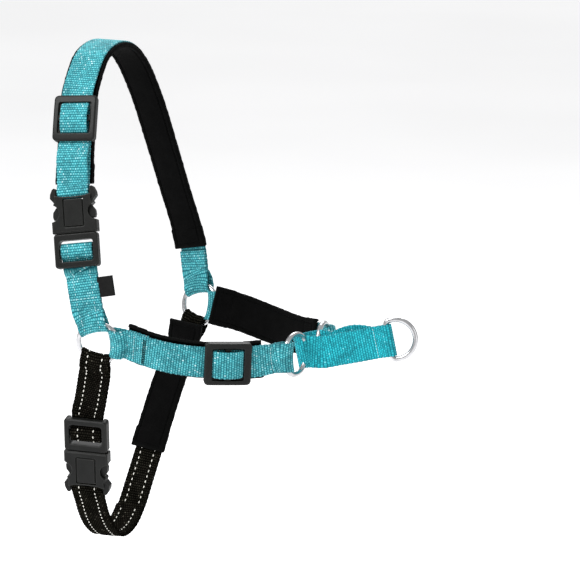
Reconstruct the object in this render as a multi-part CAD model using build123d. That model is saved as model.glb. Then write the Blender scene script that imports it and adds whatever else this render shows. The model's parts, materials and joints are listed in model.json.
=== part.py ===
from build123d import *
from math import cos, radians, sin
import os

# A no-pull dog harness in its worn shape. +X is towards the dog's head, +Y the dog's left, +Z up.
# The origin is midway between the two girth rings, where the dog's body passes through the girth loop.
# All sizes are in millimetres.

# webbing and pads
WEB_WIDTH = 25.4
WEB = 1.8
LAYER_GAP = 0.15
DOUBLE = 2 * WEB + LAYER_GAP
PAD_WIDTH = 30.0
PAD = 3.2
SECOND_LAYER = -(WEB + LAYER_GAP) / 2
PAD_GAP = 0.4
PAD_UNDER_ONE = -(WEB / 2 + PAD_GAP + PAD / 2)
PAD_UNDER_TWO = PAD_UNDER_ONE - WEB - LAYER_GAP

# round rings, and the folds of webbing that hold them
RING_RADIUS = 16.0
RING_WIRE = 2.0
FOLD_PLAY = 1.0
FOLD_OUTER = RING_WIRE + FOLD_PLAY + WEB
FOLD_TAPER = 9.0
FOLD_REACH = 14.0
FOLD_INNER_HALF_WIDTH = 9.2
GIRTH_HALF_SPAN = 92.0
TOE_IN = 12.0
GIRTH_CANT = 12.0
CHEST_RING = Vector(139.5, -26.0, -9.5)
CHEST_RING_HEADING = 82.0
SHOULDER_FOLD_ANGLE = 104.0
BELLY_FOLD_ANGLE = -103.0
GIRTH_TO_CHEST_SWING = 15.0
CHEST_RING_SWING = 44.0

# side-release buckles, in a frame with z along the strap towards the socket and y outward
BUCKLE_WIDTH = 36.0
BUCKLE_THICK = 11.0
SLEEVE_LENGTH = 26.0
SOCKET_LENGTH = 36.0
PLUG_LENGTH = 27.0
CAVITY_WIDTH = 28.4
CAVITY_THICK = 6.6
CAVITY_DEPTH = 23.5
CATCH_HEIGHT = 10.5
WINDOW_TOP = 22.5
WINDOW_EDGE = 12.6
BAR_RADIUS = 2.3
BAR_PLAY = 0.25
SOCKET_BAR = 31.4
PLUG_BAR = -14.5
PLUG_FOOT_BACK = -0.4
WEB_SLOT = 27.2
RAIL_THICK = 6.4
ARM_PIVOT = (10.6, 1.6)
ARM_ROOT = 2.0
ARM_THICK = 5.2
TONGUE = (8.4, 4.0, 16.0)
FIT = 0.3

# tri-glide sliders, in a frame with z along the strap and y outward
SLIDER_LENGTH = 37.0
SLIDER_WIDTH = 34.5
SLIDER_RAIL = 5.8
SLIDER_SIDE = 3.9
SLIDER_LOW = -1.4
SLIDER_FLOOR = 1.9
SLIDER_TOP = 5.6
SLIDER_BAR = 5.0
BITE_TOP = 6.3
BITE_FOOT = 2.9

# leash ring, a D with its straight bar in the fold at the front of the martingale
LEASH_WIRE = 2.1
LEASH_HALF_HEIGHT = 15.5
LEASH_CORNER = 3.5
LEASH_SHOULDER = 5.5
LEASH_BAR = Vector(208.0, 0.0, 2.6)
LEASH_HEADING = 18.0
MARTINGALE_PITCH = 12.5
LEASH_FOLD_OUTER = LEASH_WIRE + 0.4 + WEB

# small black label sewn into the front edge of the lower shoulder strap
LABEL = (11.0, 16.0, 1.0)
LABEL_GAP = 1.0

# strap routes: points on the middle of the outer layer of webbing
SHOULDER_ROUTE = [(-6.8, 98.5, 27), (-9, 98.8, 43), (-13, 98, 61), (-20.5, 91, 95), (-26, 80, 130),
                  (-33.5, 61, 180), (-36.2, 45, 203.5), (-37.5, 28, 217), (-38, 0, 223.5),
                  (-37.5, -28, 217), (-36.2, -45, 203.5), (-35.2, -55.7, 191), (-32.5, -64.5, 171),
                  (-29.8, -73.3, 151), (-27.2, -80, 134), (-24.9, -85.1, 119.5)]
LOWER_SHOULDER_ROUTE = [(-6.8, -98.5, 27), (-9.2, -99.3, 43), (-12.2, -97, 56)]
BELLY_SHORT_ROUTE = [(-6.2, -86.6, -25.5), (-11, -80.8, -38), (-15.6, -76, -51)]
BELLY_ROUTE = [(-25.4, -60.2, -126.5), (-26.6, -54.5, -137), (-28.8, -44, -149), (-31.5, -26, -164),
               (-33.5, -3, -173.5), (-33.5, 18, -169), (-33, 33, -156.5), (-31, 43.5, -138),
               (-28, 53, -117), (-24, 61, -95), (-17, 71.5, -62), (-10, 82, -34), (-7.8, 84.8, -27)]
CHEST_ROUTE = [(23, -88.6, -0.5), (42, -90.5, -4.5), (62, -87, -8.5), (81, -79.2, -11),
               (100, -67.3, -12.2), (119, -55.2, -12), (129, -48.2, -10.8)]
MARTINGALE_ROUTE = [(146.5, -12.6, -11.6), (163, -9.0, -7.6), (184, -4.4, -2.9), (199, -1.6, 0.6)]
CHEST_ROLL = 11.0

SHOULDER_BUCKLE = Vector(-18.75, -92.7, 85.9)
SHOULDER_BUCKLE_UP = Vector(-11.0, 13.5, 60.0).normalized()
BELLY_BUCKLE = Vector(-22.65, -67.4, -92.4)
BELLY_BUCKLE_DOWN = Vector(-5.0, 13.0, -61.5).normalized()
SHOULDER_SLIDER_STATION = 12
CHEST_SLIDER_STATION = 4


# ---------- frames ----------

def mirrored(points):
    """The same points on the dog's other side."""
    return [(x, -y, z) for x, y, z in points]


def along_body(point):
    """The width direction of a strap that goes round the body: forward, toed in towards the chest."""
    yaw = radians(-TOE_IN * point.Y / GIRTH_HALF_SPAN)
    return Vector(cos(yaw), sin(yaw), 0)


def up_chest(point):
    """The width direction of a chest strap: up, with its top edge rolled outward."""
    roll = radians(CHEST_ROLL if point.Y > 0 else -CHEST_ROLL)
    return Vector(0, sin(roll), cos(roll))


def up_martingale(point):
    """The width direction of the martingale: square to its pitch."""
    pitch = radians(MARTINGALE_PITCH)
    return Vector(-sin(pitch), 0, cos(pitch))


def square(direction, along):
    """The part of a direction that is square to another, at unit length."""
    return (direction - along * direction.dot(along)).normalized()


def stations(route, width_direction):
    """Planes across a strap: x_dir along its width, z_dir along the strap, y_dir through its thickness."""
    points = [Vector(*p) for p in route]
    planes = []
    for i, point in enumerate(points):
        before, after = points[max(i - 1, 0)], points[min(i + 1, len(points) - 1)]
        tangent = (after - before).normalized()
        planes.append(Plane(origin=point, x_dir=square(width_direction(point), tangent), z_dir=tangent))
    return planes


def outward(plane):
    """+1 where a station's y_dir points away from the body, -1 where it points to it."""
    return 1 if plane.y_dir.dot(plane.origin) > 0 else -1


def ring_plane(centre, heading, cant=0.0):
    """A ring's plane: x_dir runs forward in it, y_dir up, z_dir is the ring's axis."""
    forward = Vector(cos(radians(heading)), sin(radians(heading)), 0)
    axis = forward.cross(Vector(0, 0, 1)).rotate(Axis((0, 0, 0), tuple(forward)), cant)
    return Plane(origin=centre, x_dir=forward, z_dir=axis)


def buckle_frame(origin, along, width_direction):
    """A buckle's frame: z along the strap towards the socket, y away from the body."""
    frame = Plane(origin=origin, x_dir=square(width_direction(origin), along), z_dir=along)
    return frame if outward(frame) > 0 else Plane(origin=origin, x_dir=frame.x_dir * -1, z_dir=along)


def slider_frame(station):
    """A slider's frame on a strap's station, with y away from the body."""
    flip = outward(station)
    return Plane(origin=station.origin, x_dir=station.x_dir * flip, z_dir=station.z_dir)


# ---------- webbing and pads ----------

def ribbon(planes, width, thickness, lift):
    """A flat strap lofted through stations, lifted outward off the webbing's middle surface."""
    sections = []
    for plane in planes:
        origin = plane.origin + plane.y_dir * (lift * outward(plane))
        lifted = Plane(origin=origin, x_dir=plane.x_dir, z_dir=plane.z_dir)
        sections.append(lifted * Rectangle(width, thickness))
    return loft(sections)


def webbing(planes, layers=1):
    """One or two layers of webbing, with the second layer against the body side of the first."""
    if layers == 1:
        return ribbon(planes, WEB_WIDTH, WEB, 0)
    return ribbon(planes, WEB_WIDTH, DOUBLE, SECOND_LAYER)


def pad(planes, lift):
    """A neoprene pad under the webbing."""
    return ribbon(planes, PAD_WIDTH, PAD, lift)


def loop_section(radius, taper, reach, middle=0.0):
    """The side of a strap's folded end: round the origin, its two layers together from taper to reach."""
    high, low = middle + DOUBLE / 2, middle - DOUBLE / 2
    tip = ThreePointArc((0, -radius), (-radius, 0), (0, radius))
    layers = Polyline((0, radius), (taper, high), (reach, high), (reach, low), (taper, low), (0, -radius))
    return make_face([tip, layers])


def ring_fold(plane, angle, swing=0.0):
    """Webbing folded round a ring's wire; swing turns its layers out of the ring's plane."""
    section = Pos(RING_RADIUS, 0) * Rot(0, 0, swing) * loop_section(FOLD_OUTER, FOLD_TAPER, FOLD_REACH)
    disc = revolve(Plane.XZ * section, Axis.Z, 360)
    start, wide, end = RING_RADIUS / 2, RING_RADIUS + FOLD_TAPER, RING_RADIUS + FOLD_REACH
    tip, edge = FOLD_INNER_HALF_WIDTH, WEB_WIDTH / 2
    corners = [(start, tip), (wide, edge), (end, edge), (end, -edge), (wide, -edge), (start, -tip)]
    tongue = Polygon(*corners, align=None)
    fold = disc & extrude(tongue, RING_RADIUS, both=True)
    fold -= Torus(RING_RADIUS, RING_WIRE + FOLD_PLAY)
    return plane * (Rot(0, 0, angle) * fold)


def bar_fold(frame, bar_z, direction, middle_y, reach):
    """Webbing looped round a buckle's bar, leaving it up or down z with its layers at middle_y."""
    radius = BAR_RADIUS + BAR_PLAY + WEB
    section = loop_section(radius, radius + 2.6, reach, middle_y * direction)
    section -= Circle(BAR_RADIUS + BAR_PLAY)
    side = Plane(origin=(0, 0, bar_z), x_dir=(0, 0, direction), z_dir=(-1, 0, 0))
    return frame * extrude(side * section, WEB_WIDTH / 2, both=True)


def through_frame(frame, x, y, z):
    """A buckle frame's point, in the harness's own axes."""
    return tuple(frame.from_local_coords((x, y, z)))


# ---------- hardware ----------

def block(low, high, radius=0.0):
    """A box between two corners, with its edges along y rounded."""
    size = [h - l for l, h in zip(low, high)]
    middle = [(l + h) / 2 for l, h in zip(low, high)]
    box = Pos(*middle) * Box(*size)
    if radius:
        box = fillet(box.edges().filter_by(Axis.Y), radius)
    return box


def both_sides(piece):
    """A piece and its mirror image across the strap."""
    return piece + mirror(piece, Plane.YZ)


def cross_bar(height):
    """A buckle's round bar across the strap."""
    return Pos(0, 0, height) * Rot(0, 90, 0) * Cylinder(BAR_RADIUS, WEB_SLOT + 1)


def buckle_socket():
    """The socket half: a flat sleeve with open latch windows, and a bar between two wings."""
    half, thick, slot = BUCKLE_WIDTH / 2, BUCKLE_THICK / 2, WEB_SLOT / 2
    sleeve = block((-half, -thick, 0), (half, thick, SLEEVE_LENGTH), 1.5)
    sleeve = fillet(sleeve.edges().filter_by(Axis.Z), 3.0)
    wide, deep = CAVITY_WIDTH / 2, CAVITY_THICK / 2
    cavity = block((-wide, -deep, -1), (wide, deep, CAVITY_DEPTH))
    window = block((WINDOW_EDGE, -thick - 1, CATCH_HEIGHT), (half + 1, thick + 1, WINDOW_TOP))
    wing = block((slot, -RAIL_THICK / 2, SLEEVE_LENGTH - 4), (half, RAIL_THICK / 2, SOCKET_LENGTH))
    wing = fillet(wing.edges().filter_by(Axis.Y).sort_by(Axis.Z)[-2:], 2.0)
    relief = block((-6.5, thick - 0.7, 7), (6.5, thick + 1, 20), 1.2)
    body = sleeve - cavity - both_sides(window) - relief - mirror(relief, Plane.XZ)
    return body + both_sides(wing) + cross_bar(SOCKET_BAR)


def buckle_plug():
    """The plug half: a ladder frame with a web bar, a shoulder, and the tongue that guides it in."""
    half, slot, rail = BUCKLE_WIDTH / 2 - 0.5, WEB_SLOT / 2, RAIL_THICK / 2
    shoulder = block((-half, -4.5, -6), (half, 4.5, -FIT), 1.0)
    side = block((slot, -rail, -PLUG_LENGTH), (half, rail, -5), 1.2)
    foot = block((-half, PLUG_FOOT_BACK, -PLUG_LENGTH), (half, 3.8, -PLUG_LENGTH + 4.5), 1.2)
    seat = block((-13.6, -2.7, -1), (13.6, 2.7, 1.4))
    socket = Pos(ARM_PIVOT[0], 0, ARM_PIVOT[1]) * Rot(90, 0, 0) * Cylinder(ARM_ROOT + FIT, 12)
    width, thick, length = TONGUE
    tongue = block((-width / 2, -thick / 2, -1), (width / 2, thick / 2, length), 1.5)
    body = shoulder + both_sides(side) + foot + cross_bar(PLUG_BAR) + seat + tongue
    return body - both_sides(socket)


def latch_arm(side):
    """One springy latch arm with its finger pad; side is +1 or -1 across the strap."""
    pivot_x, pivot_z = ARM_PIVOT
    root = Pos(pivot_x, 0, pivot_z) * Rot(90, 0, 0) * Cylinder(ARM_ROOT, ARM_THICK)
    outline = [(9.2, pivot_z), (8.8, 19.8), (10.4, 21.6), (14.2, 20.8), (17.0, 17.0), (17.3, 13.5),
               (16.6, 11.0), (12.4, 11.0), (12.0, pivot_z)]
    blade = extrude(Plane.XZ * Polygon(*outline, align=None), ARM_THICK / 2, both=True)
    arm = root + blade
    return arm if side > 0 else mirror(arm, Plane.YZ)


def tri_glide():
    """A slider: two side rails beside the strap, two end rails and a middle bar over it."""
    half, length = SLIDER_WIDTH / 2, SLIDER_LENGTH / 2
    frame = block((-half, SLIDER_LOW, -length), (half, SLIDER_TOP, length), 3.0)
    opening, window = half - SLIDER_SIDE, length - SLIDER_RAIL
    bar_top = BITE_TOP - WEB / 2 - FIT
    tunnel = block((-opening, SLIDER_LOW - 1, -length - 1), (opening, SLIDER_FLOOR, length + 1))
    hole = block((-opening, SLIDER_LOW - 1, -window), (opening, SLIDER_TOP + 1, window), 1.0)
    bar = block((-opening - 1, SLIDER_FLOOR, -SLIDER_BAR / 2), (opening + 1, bar_top, SLIDER_BAR / 2))
    return frame - tunnel - hole + bar


def slider_bite():
    """The webbing that shows in a slider's window, arched over its middle bar."""
    foot = SLIDER_LENGTH / 2 - SLIDER_RAIL - 0.6
    flat = foot - 4.6
    corners = [(0, BITE_FOOT, -foot), (0, BITE_TOP, -flat), (0, BITE_TOP, flat), (0, BITE_FOOT, foot)]
    path = FilletPolyline(*corners, radius=4.0)
    section = Plane(origin=path @ 0, x_dir=(1, 0, 0), z_dir=path % 0) * Rectangle(WEB_WIDTH, WEB)
    return sweep(section, path=path)


def o_ring(plane):
    """A welded round ring."""
    return plane * Torus(RING_RADIUS, RING_WIRE)


def leash_ring(plane):
    """A D-ring in its own plane: the bar along y at x = 0, the bow towards +x."""
    top, corner, bow = LEASH_HALF_HEIGHT, LEASH_CORNER, LEASH_SHOULDER
    bar = Line((0, corner - top), (0, top - corner))
    upper = RadiusArc(bar @ 1, (corner, top), corner)
    upper_side = Line(upper @ 1, (bow, top))
    arc = ThreePointArc(upper_side @ 1, (bow + top, 0), (bow, -top))
    lower_side = Line(arc @ 1, (corner, -top))
    lower = RadiusArc(lower_side @ 1, bar @ 0, corner)
    path = Wire([bar, upper, upper_side, arc, lower_side, lower])
    section = Plane(origin=bar @ 0, z_dir=bar % 0) * Circle(LEASH_WIRE)
    return plane * sweep(section, path=path)


# ---------- the assembly ----------

GIRTH_RIGHT = ring_plane(Vector(0, -GIRTH_HALF_SPAN, 0), TOE_IN, GIRTH_CANT)
GIRTH_LEFT = ring_plane(Vector(0, GIRTH_HALF_SPAN, 0), -TOE_IN, -GIRTH_CANT)
CHEST_RIGHT = ring_plane(CHEST_RING, CHEST_RING_HEADING)
CHEST_LEFT = ring_plane(Vector(CHEST_RING.X, -CHEST_RING.Y, CHEST_RING.Z), -CHEST_RING_HEADING)
SHOULDER_FRAME = buckle_frame(SHOULDER_BUCKLE, SHOULDER_BUCKLE_UP, along_body)
BELLY_FRAME = buckle_frame(BELLY_BUCKLE, BELLY_BUCKLE_DOWN, along_body)
BEHIND_PLUG_FOOT = PLUG_FOOT_BACK - 0.8 - DOUBLE / 2
BEHIND_SOCKET_BAR = SECOND_LAYER


def shoulder_nodes():
    """The strap over the withers with its pad, slider and buckle socket."""
    planes = stations(SHOULDER_ROUTE, along_body)
    slider = slider_frame(planes[SHOULDER_SLIDER_STATION])
    upper = webbing(planes[10:SHOULDER_SLIDER_STATION + 1])
    lower = webbing(planes[SHOULDER_SLIDER_STATION:], layers=2)
    socket_fold = bar_fold(SHOULDER_FRAME, SOCKET_BAR, 1, BEHIND_SOCKET_BAR, 11)
    return {
        "shoulder_webbing_left": webbing(planes[:7]) + ring_fold(GIRTH_LEFT, SHOULDER_FOLD_ANGLE),
        "shoulder_webbing_crown": webbing(planes[6:11]),
        "shoulder_webbing_right": upper + lower + socket_fold,
        "shoulder_pad_left": pad(planes[1:7], PAD_UNDER_ONE),
        "shoulder_pad_crown": pad(planes[6:11], PAD_UNDER_ONE),
        "shoulder_pad_right": pad(planes[10:15], PAD_UNDER_TWO),
        "shoulder_slider": slider * tri_glide(),
        "shoulder_slider_bite": slider * slider_bite(),
    }


def lower_shoulder_nodes():
    """The short strap from the right girth ring up to the buckle plug, with its label."""
    end = through_frame(SHOULDER_FRAME, 0, BEHIND_PLUG_FOOT - SECOND_LAYER, -PLUG_LENGTH)
    planes = stations(LOWER_SHOULDER_ROUTE + [end], along_body)
    strap = webbing(planes, layers=2) + ring_fold(GIRTH_RIGHT, SHOULDER_FOLD_ANGLE)
    strap += bar_fold(SHOULDER_FRAME, PLUG_BAR, -1, BEHIND_PLUG_FOOT, 14)
    length, height, thickness = LABEL
    label = Pos(WEB_WIDTH / 2 + LABEL_GAP + length / 2, 0, 0) * Box(length, thickness, height)
    return {
        "lower_shoulder_webbing": strap,
        "side_label": planes[1] * label,
    }


def buckle_nodes(frame, place, plus_side, minus_side):
    """A side-release buckle's four pieces, on one frame."""
    return {
        f"{place}_buckle_socket": frame * buckle_socket(),
        f"{place}_buckle_plug": frame * buckle_plug(),
        f"{place}_latch_arm_{plus_side}": frame * latch_arm(1),
        f"{place}_latch_arm_{minus_side}": frame * latch_arm(-1),
    }


def belly_nodes():
    """The black strap under the belly, with its pad."""
    end = through_frame(BELLY_FRAME, 0, BEHIND_PLUG_FOOT - SECOND_LAYER, -PLUG_LENGTH)
    short = stations(BELLY_SHORT_ROUTE + [end], along_body)
    planes = stations(BELLY_ROUTE, along_body)
    right = webbing(short, layers=2) + ring_fold(GIRTH_RIGHT, BELLY_FOLD_ANGLE)
    right += bar_fold(BELLY_FRAME, PLUG_BAR, -1, BEHIND_PLUG_FOOT, 14)
    lower = webbing(planes[:3], layers=2) + bar_fold(BELLY_FRAME, SOCKET_BAR, 1, BEHIND_SOCKET_BAR, 11)
    return {
        "belly_webbing_right": right,
        "belly_webbing_lower": lower,
        "belly_webbing_keel": webbing(planes[2:7], layers=2),
        "belly_webbing_left": webbing(planes[6:]) + ring_fold(GIRTH_LEFT, BELLY_FOLD_ANGLE),
        "belly_pad_left": pad(planes[8:12], PAD_UNDER_ONE),
    }


def chest_nodes():
    """The two padded chest straps; the right one has a slider."""
    right = stations(CHEST_ROUTE, up_chest)
    left = stations(mirrored(CHEST_ROUTE), up_chest)
    slider = slider_frame(right[CHEST_SLIDER_STATION])
    right_strap = webbing(right[:CHEST_SLIDER_STATION + 1])
    right_strap += webbing(right[CHEST_SLIDER_STATION:], layers=2)
    right_strap += ring_fold(GIRTH_RIGHT, 0, GIRTH_TO_CHEST_SWING)
    right_strap += ring_fold(CHEST_RIGHT, 180, -CHEST_RING_SWING)
    left_strap = webbing(left) + ring_fold(GIRTH_LEFT, 0, -GIRTH_TO_CHEST_SWING)
    left_strap += ring_fold(CHEST_LEFT, 180, CHEST_RING_SWING)
    return {
        "chest_webbing_right": right_strap,
        "chest_webbing_left": left_strap,
        "chest_pad_right": pad(right[1:6], PAD_UNDER_TWO),
        "chest_pad_left": pad(left[1:6], PAD_UNDER_ONE),
        "chest_slider": slider * tri_glide(),
        "chest_slider_bite": slider * slider_bite(),
    }


def martingale_nodes():
    """The loop that draws the chest rings together, and the leash ring in its front fold."""
    pitch, heading = radians(MARTINGALE_PITCH), radians(LEASH_HEADING)
    up = up_martingale(LEASH_BAR)
    back = Vector(-cos(pitch), 0, -sin(pitch))
    fold_plane = Plane(origin=LEASH_BAR, x_dir=back, z_dir=up)
    section = loop_section(LEASH_FOLD_OUTER, 9, 13) - Circle(LEASH_WIRE + 0.4)
    fold = extrude(fold_plane * section, WEB_WIDTH / 2, both=True)
    right = webbing(stations(MARTINGALE_ROUTE, up_martingale))
    left = mirror(right, Plane.XZ)
    loop = fold + right + left + ring_fold(CHEST_RIGHT, 0) + ring_fold(CHEST_LEFT, 0)
    bow = Vector(cos(pitch) * cos(heading), sin(heading), sin(pitch) * cos(heading))
    return {
        "martingale_webbing": loop,
        "leash_ring": leash_ring(Plane(origin=LEASH_BAR, x_dir=bow, z_dir=bow.cross(up))),
    }


def ring_nodes():
    """The four round rings."""
    return {
        "girth_ring_right": o_ring(GIRTH_RIGHT),
        "girth_ring_left": o_ring(GIRTH_LEFT),
        "chest_ring_right": o_ring(CHEST_RIGHT),
        "chest_ring_left": o_ring(CHEST_LEFT),
    }


def harness():
    """Every node by name."""
    nodes = shoulder_nodes() | lower_shoulder_nodes() | belly_nodes() | chest_nodes()
    nodes |= martingale_nodes() | ring_nodes()
    nodes |= buckle_nodes(SHOULDER_FRAME, "shoulder", "rear", "front")
    nodes |= buckle_nodes(BELLY_FRAME, "belly", "front", "rear")
    return nodes


os.makedirs("parts", exist_ok=True)
for name, shape in harness().items():
    export_step(shape, f"parts/{name}.step")
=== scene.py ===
import json
import math
from itertools import product

import bmesh
import bpy
import numpy as np
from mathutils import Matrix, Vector


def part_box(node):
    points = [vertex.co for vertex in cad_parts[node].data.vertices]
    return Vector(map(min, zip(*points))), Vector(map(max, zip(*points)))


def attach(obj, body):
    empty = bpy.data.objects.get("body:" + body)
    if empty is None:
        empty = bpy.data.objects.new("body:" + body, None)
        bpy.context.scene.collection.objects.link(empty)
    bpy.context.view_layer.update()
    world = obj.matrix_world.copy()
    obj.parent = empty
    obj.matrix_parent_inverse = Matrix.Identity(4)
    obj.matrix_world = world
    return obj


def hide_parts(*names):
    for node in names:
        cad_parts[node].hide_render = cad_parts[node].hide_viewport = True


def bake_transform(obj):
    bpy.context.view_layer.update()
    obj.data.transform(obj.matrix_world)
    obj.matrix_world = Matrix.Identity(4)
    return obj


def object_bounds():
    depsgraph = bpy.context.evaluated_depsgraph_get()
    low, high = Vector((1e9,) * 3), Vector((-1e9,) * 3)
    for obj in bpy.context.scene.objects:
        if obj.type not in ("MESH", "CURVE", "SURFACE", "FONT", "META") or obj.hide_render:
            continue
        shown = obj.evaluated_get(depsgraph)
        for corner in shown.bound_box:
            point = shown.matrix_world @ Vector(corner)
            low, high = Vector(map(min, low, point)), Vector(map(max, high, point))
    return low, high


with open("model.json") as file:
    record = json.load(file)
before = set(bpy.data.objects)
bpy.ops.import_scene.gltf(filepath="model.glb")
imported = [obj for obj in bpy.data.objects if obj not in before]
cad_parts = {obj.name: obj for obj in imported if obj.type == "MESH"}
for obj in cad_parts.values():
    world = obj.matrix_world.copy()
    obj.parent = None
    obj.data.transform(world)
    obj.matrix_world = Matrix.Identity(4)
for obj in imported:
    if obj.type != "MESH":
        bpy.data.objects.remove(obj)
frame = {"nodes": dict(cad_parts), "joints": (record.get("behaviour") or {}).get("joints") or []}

# A no-pull dog harness in its worn shape: +X towards the dog's head, +Y the dog's left, +Z up.
# Shapes are in millimetres: mesh_object() and moulded() turn them into metres.
# The blends' end points, the stage, the lights and the camera are in metres.

CAD_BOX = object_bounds()
MM = 0.001

# webbing
WEB_WIDTH = 25.4
WEB = 1.8
LAYER = 1.95
UNDER_SLIDER = 0.9
YARN = 2.0
ROW = YARN / 3
RELIEF = 0.14
SELVEDGE = 0.75
SCALLOP = 0.16
BITE_WIDTH = 22.0
LABEL_WIDTH = 16.0
STITCH_LIFT = WEB / 2 + 0.06

# stitches: length, width and height of each kind, then how one is meshed
DASH = (2.1, 0.95, 0.4)
FINE = (2.0, 0.55, 0.28)
TACK = (1.5, 0.7, 0.4)
BOX = (2.2, 0.5, 0.3)
CHANNEL_STITCH = (2.5, 0.6, 0.3)
STITCH_RINGS = 5
STITCH_SIDES = 8

# pads
PAD_WIDTH = 30.0
PAD = 3.2
PAD_ROW = 0.8
UNDER_ONE = -2.9
UNDER_TWO = -5.6
PAD_BORDER = 3.6
PAD_STITCH = 3.2
PAD_STITCH_LIFT = 0.8
PAD_EDGE = 1.0
PAD_TIP = 1.2
PAD_CROWN = 0.35
RIM_RISE = 1.25
RIM_WAVE = 0.14
SEAM_DEPTH = 0.75
STITCH_DEPTH = 0.3
HEM_SEAM_DEPTH = 0.45
HEM_RISE = 0.4
HEM_SPREAD = 0.55
HEM = 16.0
FIRST_SEED = 11
SEED_STEP = 12

# rings, bars and what is folded round them
RING_RADIUS = 16.0
RING_WRAP = 4.1
RING_SLACK = 1.5
LOOP_SLACK = 2.0
BAR_WRAP = 3.45
PLUG_SLACK = 1.75
LEASH_WRAP = 3.4
FOLD_NARROWING = 0.92
FOLD_SAG = 0.42
FAR_BELLY_NARROWING = 0.82
FAR_BELLY_PLEAT = 0.25
PLEAT_PITCH = 4.6
FAR_LAYER_RISE = 3.5
SHOULDER_FOLD_ANGLE = 104.0
BELLY_FOLD_ANGLE = -103.0
GIRTH_TO_CHEST_SWING = 15.0
CHEST_RING_SWING = 44.0

# buckle heights along the strap, from the line where the halves meet
SOCKET_BAR = 31.4
PLUG_BAR = -14.5
ARM_PIVOT_HEIGHT = 1.6

# moulded hardware
MOULD_VOXEL = 0.3
ROUNDING_STEPS = 4

# width directions
GIRTH_HALF_SPAN = 92.0
TOE_IN = 12.0
CHEST_ROLL = 11.0
MARTINGALE_PITCH = 12.5

# strap routes: points on the middle of the outer layer of webbing
SHOULDER_ROUTE = [(-6.8, 98.5, 27), (-9, 98.8, 43), (-13, 98, 61), (-20.5, 91, 95), (-26, 80, 130),
                  (-33.5, 61, 180), (-36.2, 45, 203.5), (-37.5, 28, 217), (-38, 0, 223.5),
                  (-37.5, -28, 217), (-36.2, -45, 203.5), (-35.2, -55.7, 191), (-32.5, -64.5, 171),
                  (-29.8, -73.3, 151), (-27.2, -80, 134)]
LOWER_SHOULDER_ROUTE = [(-6.8, -98.5, 27), (-9.2, -99.3, 43), (-12.2, -97, 56)]
BELLY_SHORT_ROUTE = [(-6.2, -86.6, -25.5), (-11, -80.8, -38), (-15.6, -76, -51)]
BELLY_ROUTE = [(-26.6, -54.5, -137), (-28.8, -44, -149), (-31.5, -26, -164),
               (-33.5, -3, -173.5), (-33.5, 18, -169), (-33, 33, -156.5), (-31, 43.5, -138),
               (-28, 53, -117), (-24, 61, -95), (-17, 71.5, -62), (-10, 82, -34), (-7.8, 84.8, -27)]
CHEST_ROUTE = [(23, -88.6, -0.5), (42, -90.5, -4.5), (62, -87, -8.5), (81, -79.2, -11),
               (100, -67.3, -12.2), (119, -55.2, -12), (129, -48.2, -10.8)]
SHOULDER_LIFT = [(0, 0), (12.85, 0), (13.35, 4.6), (13.7, 5.6), (14, 4.2)]
MARTINGALE_ROUTE = [(146.5, -12.6, -11.6), (163, -9.0, -7.6), (184, -4.4, -2.9), (199, -1.6, 0.6)]

JOINTS = {joint["name"]: joint for joint in frame["joints"]}
UP, FORWARD = np.array([0, 0, 1.0]), np.array([1.0, 0, 0])


# --- small vector helpers ---

def unit(vectors):
    """Vectors at unit length, one or many."""
    vectors = np.asarray(vectors, float)
    return vectors / np.linalg.norm(vectors, axis=-1, keepdims=True)


def square(direction, along):
    """The part of a direction that is square to another, at unit length."""
    dot = np.sum(direction * along, axis=-1, keepdims=True)
    return unit(direction - along * dot)


def smoothstep(value, low, high):
    """0 below low, 1 above high, smooth between. Low may be the greater."""
    t = np.clip((value - low) / (high - low), 0, 1)
    return t * t * (3 - 2 * t)


def distances(points):
    """The distance along a line of points, at each of them."""
    return np.concatenate([[0], np.cumsum(np.linalg.norm(np.diff(points, axis=0), axis=1))])


def spline(rows, step):
    """Rows evenly spaced along a smooth curve through the given ones. A row starts with its place."""
    rows = np.asarray(rows, float)
    gaps = np.maximum(np.linalg.norm(np.diff(rows[:, :3], axis=0), axis=1), 1e-6)[:, None]
    slopes = np.diff(rows, axis=0) / gaps
    inner = (slopes[:-1] * gaps[1:] + slopes[1:] * gaps[:-1]) / (gaps[1:] + gaps[:-1])
    tangents = np.vstack([slopes[:1], inner, slopes[-1:]])
    dense = []
    for i, gap in enumerate(gaps[:, 0]):
        t = np.linspace(0, 1, max(4, int(gap / 0.4)), endpoint=False)[:, None]
        places = rows[i] * (2 * t**3 - 3 * t**2 + 1) + rows[i + 1] * (3 * t**2 - 2 * t**3)
        turns = tangents[i] * (t**3 - 2 * t**2 + t) + tangents[i + 1] * (t**3 - t**2)
        dense.append(places + gap * turns)
    dense = np.vstack(dense + [rows[-1:]])
    length = distances(dense[:, :3])
    wanted = np.linspace(0, length[-1], max(2, round(length[-1] / step) + 1))
    return np.stack([np.interp(wanted, length, column) for column in dense.T], axis=1)


# --- where things are ---

def mirrored(points):
    """The same points on the dog's other side."""
    return [(x, -y, z) for x, y, z in points]


def along_body(points):
    """The width direction of a strap round the body: forward, toed in towards the chest."""
    yaw = np.radians(-TOE_IN * points[:, 1] / GIRTH_HALF_SPAN)
    return np.stack([np.cos(yaw), np.sin(yaw), 0 * yaw], axis=1)


def up_chest(points):
    """The width direction of a chest strap: up, with its top edge rolled outward."""
    roll = np.radians(np.where(points[:, 1] > 0, CHEST_ROLL, -CHEST_ROLL))
    return np.stack([0 * roll, np.sin(roll), np.cos(roll)], axis=1)


def up_martingale(points):
    """The width direction of the martingale: square to its pitch."""
    pitch = math.radians(MARTINGALE_PITCH)
    return np.tile([-math.sin(pitch), 0, math.cos(pitch)], (len(points), 1))


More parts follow.
